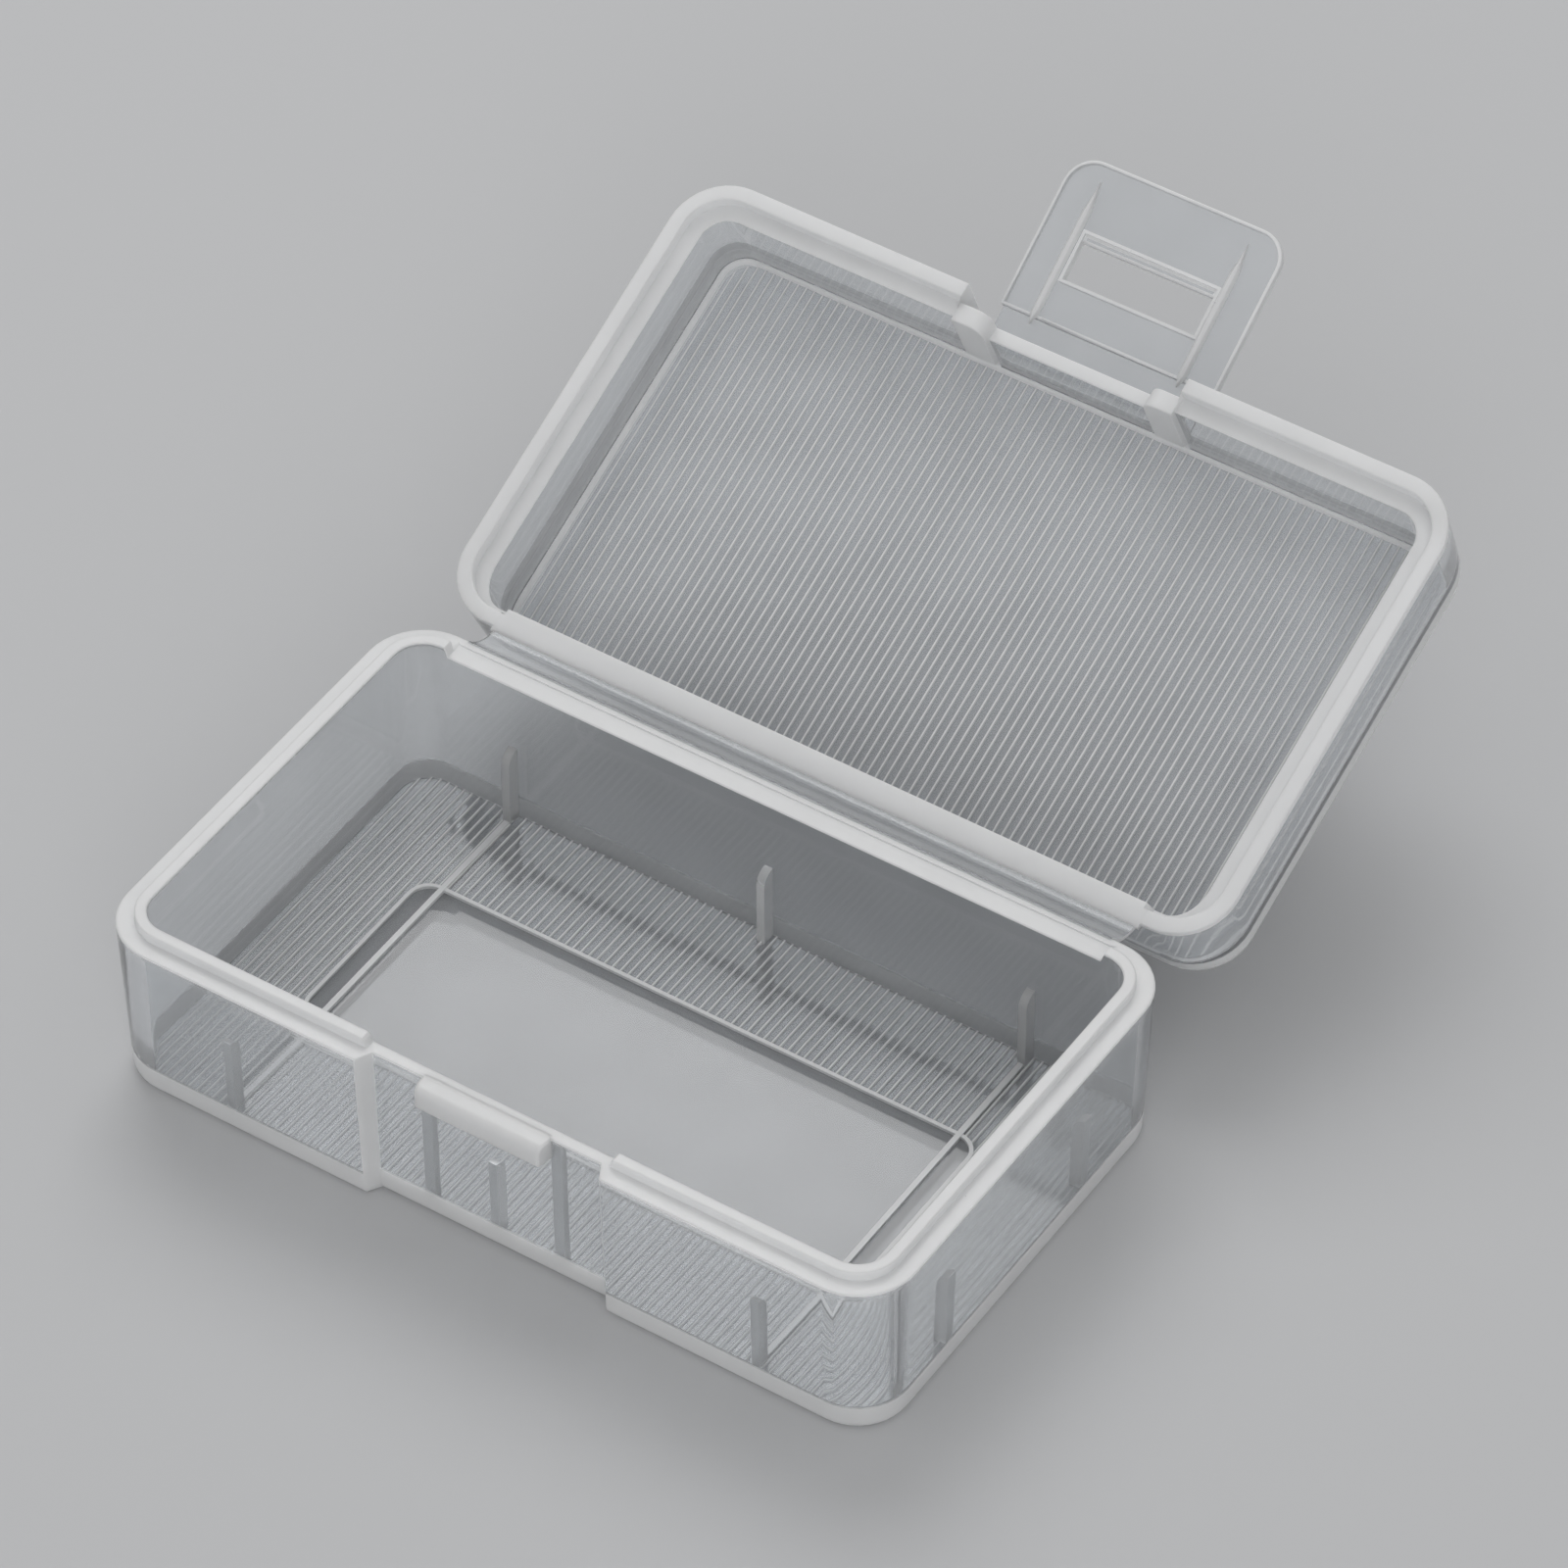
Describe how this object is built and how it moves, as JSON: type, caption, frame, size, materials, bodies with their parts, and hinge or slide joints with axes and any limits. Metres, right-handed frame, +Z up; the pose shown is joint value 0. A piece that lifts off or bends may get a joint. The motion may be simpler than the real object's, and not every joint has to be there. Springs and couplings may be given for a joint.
{
  "type": "hinged battery storage case",
  "caption": "Small translucent snap-shut storage case with a ribbed tray, a lid on a living hinge and a windowed latch tab.",
  "frame": {"origin": "centre of the tray's underside, on the table", "axes": "+X along the hinge, towards the end wall with ribs; +Y from the latch side to the hinge side and the open lid; +Z up"},
  "size_m": [0.077, 0.1078, 0.0365],
  "materials": {
    "clear_wall": "moulded, translucent",
    "milky_edge": "moulded, milky"
  },
  "bodies": {
    "tray": {"base_tray": "clear_wall", "floor_flutes": "clear_wall", "floor_pane_border": "milky_edge", "left_locating_lip": "milky_edge", "right_locating_lip": "milky_edge", "latch_recess_wall": "clear_wall", "latch_bar": "milky_edge", "bar_support_ribs": "milky_edge", "rear_wall_ribs": "milky_edge", "front_wall_ribs": "milky_edge", "end_wall_ribs": "milky_edge", "left_floor_rib": "milky_edge", "right_floor_rib": "milky_edge", "hinge_web": "clear_wall"},
    "lid": {"lid_shell": "clear_wall", "lid_flutes": "clear_wall", "left_lid_skirt": "milky_edge", "right_lid_skirt": "milky_edge", "lid_hinge_band": "milky_edge", "lid_set_back_wall": "clear_wall", "left_notch_cheek": "milky_edge", "right_notch_cheek": "milky_edge"},
    "latch": {"latch_film": "clear_wall", "latch_tab": "clear_wall", "latch_tab_ribs": "milky_edge"}
  },
  "joints": [
    {"name": "lid_hinge", "type": "hinge", "parent": "tray", "child": "lid", "pos_m": [0, 0.02435, 0.0156], "axis": [-1, 0, 0], "range_deg": [-155.8, 24.2], "deforming": ["hinge_web"]},
    {"name": "latch_hinge", "type": "hinge", "parent": "lid", "child": "latch", "pos_m": [0, 0.07022, 0.02637], "axis": [-1, 0, 0], "range_deg": [-80, 25], "deforming": ["latch_film"]}
  ]
}
